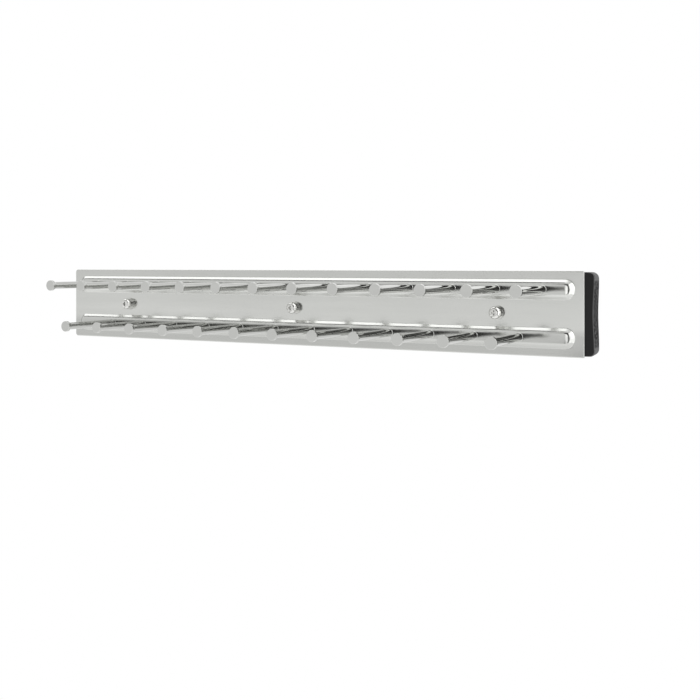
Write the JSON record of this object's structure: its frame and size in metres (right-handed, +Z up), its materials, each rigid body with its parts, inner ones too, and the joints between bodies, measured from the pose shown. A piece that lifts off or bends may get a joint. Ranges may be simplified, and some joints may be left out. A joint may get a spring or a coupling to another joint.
{
  "type": "pull-out tie rack",
  "caption": "Pull-out tie rack: chromed pressed plate with two staggered rows of headed pegs, a black moulded end handle, and a full-extension ball slide behind it.",
  "frame": {"origin": "mid length and mid height of the fixed rail, on its mounting face", "axes": "+X the way the rack pulls out, towards the handle; +Y into the wardrobe's side panel, so the pegs point along -Y; +Z up"},
  "size_m": [0.4871, 0.0796, 0.062],
  "materials": {
    "chrome_plate": "bright chrome plating on pressed steel sheet",
    "chrome_pegs": "bright chrome plating on turned steel",
    "screw_steel": "nickel-plated steel",
    "zinc_fixings": "zinc-plated steel",
    "spacer_nylon": "moulded nylon",
    "rail_zinc": "bright zinc on rolled steel",
    "cage_steel": "plain steel strip with a film of grease",
    "ball_steel": "polished bearing steel",
    "buffer_rubber": "moulded rubber",
    "handle_black": "moulded plastic, smooth front and grained side"
  },
  "bodies": {
    "fixed_rail": {"outer_rail_stops": "cage_steel", "rear_buffer": "buffer_rubber", "slide_outer_rail": "rail_zinc"},
    "outer_cage": {"outer_cage_balls": "ball_steel", "outer_cage_lower_strip": "cage_steel", "outer_cage_upper_strip": "cage_steel"},
    "middle_rail": {"middle_rail_stops": "cage_steel", "slide_middle_rail": "rail_zinc"},
    "inner_cage": {"inner_cage_balls": "ball_steel", "inner_cage_lower_strip": "cage_steel", "inner_cage_upper_strip": "cage_steel"},
    "carriage": {"handle_grip": "handle_black", "handle_nuts": "zinc_fixings", "handle_studs": "zinc_fixings", "inner_rail_stops": "cage_steel", "lower_peg_01": "chrome_pegs", "lower_peg_02": "chrome_pegs", "lower_peg_03": "chrome_pegs", "lower_peg_04": "chrome_pegs", "lower_peg_05": "chrome_pegs", "lower_peg_06": "chrome_pegs", "lower_peg_07": "chrome_pegs", "lower_peg_08": "chrome_pegs", "lower_peg_09": "chrome_pegs", "lower_peg_10": "chrome_pegs", "lower_peg_11": "chrome_pegs", "lower_peg_12": "chrome_pegs", "plate_nuts": "zinc_fixings", "plate_screws": "screw_steel", "plate_spacers": "spacer_nylon", "plate_spring_washers": "screw_steel", "plate_washers": "screw_steel", "rack_plate": "chrome_plate", "slide_inner_rail": "rail_zinc", "upper_peg_01": "chrome_pegs", "upper_peg_02": "chrome_pegs", "upper_peg_03": "chrome_pegs", "upper_peg_04": "chrome_pegs", "upper_peg_05": "chrome_pegs", "upper_peg_06": "chrome_pegs", "upper_peg_07": "chrome_pegs", "upper_peg_08": "chrome_pegs", "upper_peg_09": "chrome_pegs", "upper_peg_10": "chrome_pegs", "upper_peg_11": "chrome_pegs", "upper_peg_12": "chrome_pegs", "upper_peg_13": "chrome_pegs"}
  },
  "joints": [
    {"name": "middle_slide", "type": "slide", "parent": "fixed_rail", "child": "middle_rail", "axis": [1, 0, 0], "range_m": [0, 0.21]},
    {"name": "carriage_slide", "type": "slide", "parent": "middle_rail", "child": "carriage", "axis": [1, 0, 0], "range_m": [0, 0.21]},
    {"name": "outer_cage_roll", "type": "slide", "parent": "fixed_rail", "child": "outer_cage", "axis": [1, 0, 0], "range_m": [0, 0.105]},
    {"name": "inner_cage_roll", "type": "slide", "parent": "middle_rail", "child": "inner_cage", "axis": [1, 0, 0], "range_m": [0, 0.105]}
  ],
  "couplings": [
    {"joint": "outer_cage_roll", "follows": "middle_slide", "ratio": 0.5},
    {"joint": "inner_cage_roll", "follows": "carriage_slide", "ratio": 0.5}
  ]
}
